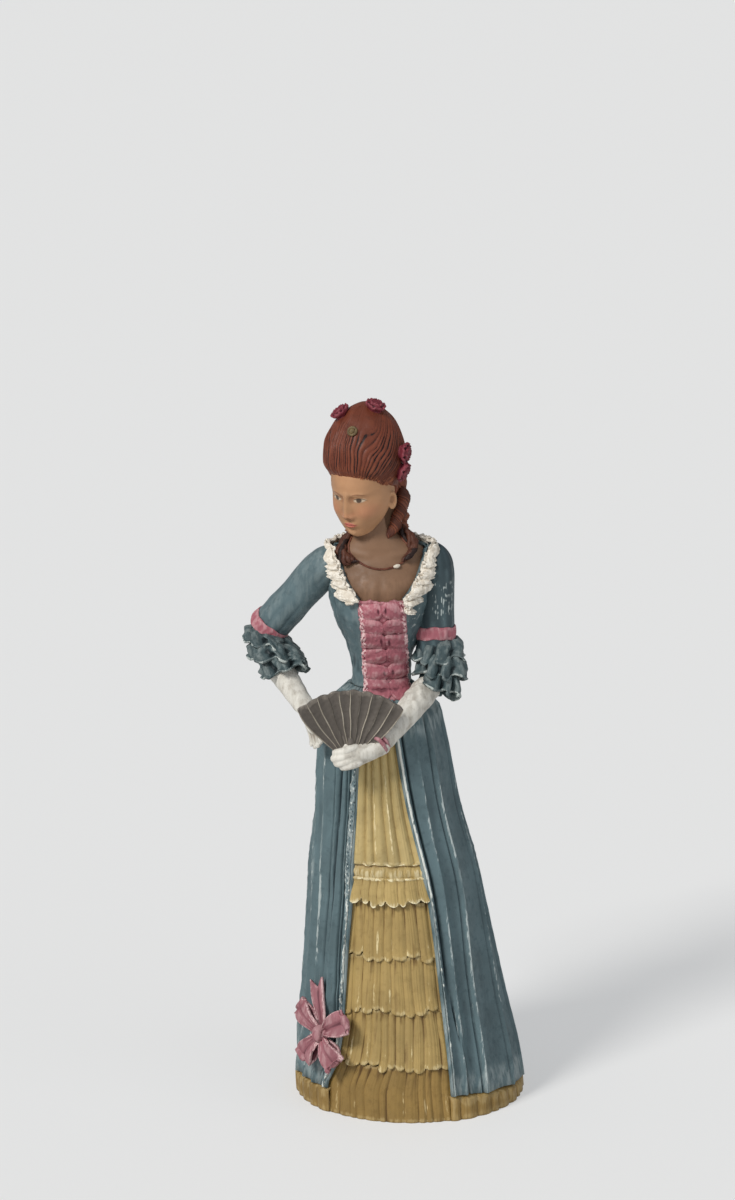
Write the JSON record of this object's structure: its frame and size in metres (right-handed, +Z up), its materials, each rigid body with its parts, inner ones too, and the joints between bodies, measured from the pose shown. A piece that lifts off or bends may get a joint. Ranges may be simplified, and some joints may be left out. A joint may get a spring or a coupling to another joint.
{
  "type": "lady figurine",
  "caption": "Small standing figurine of a lady in an open robe over a flounced petticoat, with a high dressed hairstyle, a fan and long gloves, for a dollhouse or shelf.",
  "frame": {"origin": "centre of the petticoat's round hem, on the floor", "axes": "+Z up from the base to the hair, she faces -Y, +X is her left side"},
  "size_m": [0.0283, 0.0234, 0.0723],
  "materials": {
    "petticoat_yellow": "hand-painted, semi-matte",
    "robe_teal": "hand-painted, semi-matte",
    "lace_white": "hand-painted, semi-matte",
    "glove_white": "hand-painted, semi-matte",
    "ribbon_pink": "hand-painted, semi-matte",
    "skin": "hand-painted, semi-matte",
    "hair_auburn": "hand-painted, semi-matte",
    "rosette_red": "hand-painted, semi-matte",
    "bead_gilt": "hand-painted, semi-matte",
    "necklace_gilt": "hand-painted, semi-matte",
    "fan_taupe": "hand-painted, semi-matte",
    "fan_cream": "hand-painted, semi-matte"
  },
  "bodies": {
    "root": {"petticoat": "petticoat_yellow", "petticoat_front": "petticoat_yellow", "puff_band": "petticoat_yellow", "frill_band": "petticoat_yellow", "flounce_1": "petticoat_yellow", "flounce_2": "petticoat_yellow", "flounce_3": "petticoat_yellow", "flounce_4": "petticoat_yellow", "hem_flounce": "petticoat_yellow", "overskirt": "robe_teal", "edging_left": "lace_white", "edging_right": "lace_white", "chest_and_neck": "skin", "bodice": "robe_teal", "stomacher": "ribbon_pink", "stomacher_bows": "ribbon_pink", "neckline_ruffle": "lace_white", "sleeve_left": "robe_teal", "sleeve_right": "robe_teal", "arm_ribbon_left": "ribbon_pink", "arm_ribbon_right": "ribbon_pink", "cuff_top_left": "robe_teal", "cuff_middle_left": "robe_teal", "cuff_bottom_left": "robe_teal", "cuff_top_right": "robe_teal", "cuff_middle_right": "robe_teal", "cuff_bottom_right": "robe_teal", "glove_left": "glove_white", "glove_right": "glove_white", "bracelet": "ribbon_pink", "fan_leaf": "fan_taupe", "fan_sticks": "fan_cream", "fan_grip": "fan_cream", "head": "skin", "hair_pouf": "hair_auburn", "hair_chignon": "hair_auburn", "hair_curls": "hair_auburn", "hair_rosettes": "rosette_red", "hair_bead": "bead_gilt", "necklace": "necklace_gilt", "skirt_bow_loops": "ribbon_pink", "skirt_bow_tails": "ribbon_pink", "skirt_bow_knot": "ribbon_pink"}
  },
  "joints": []
}
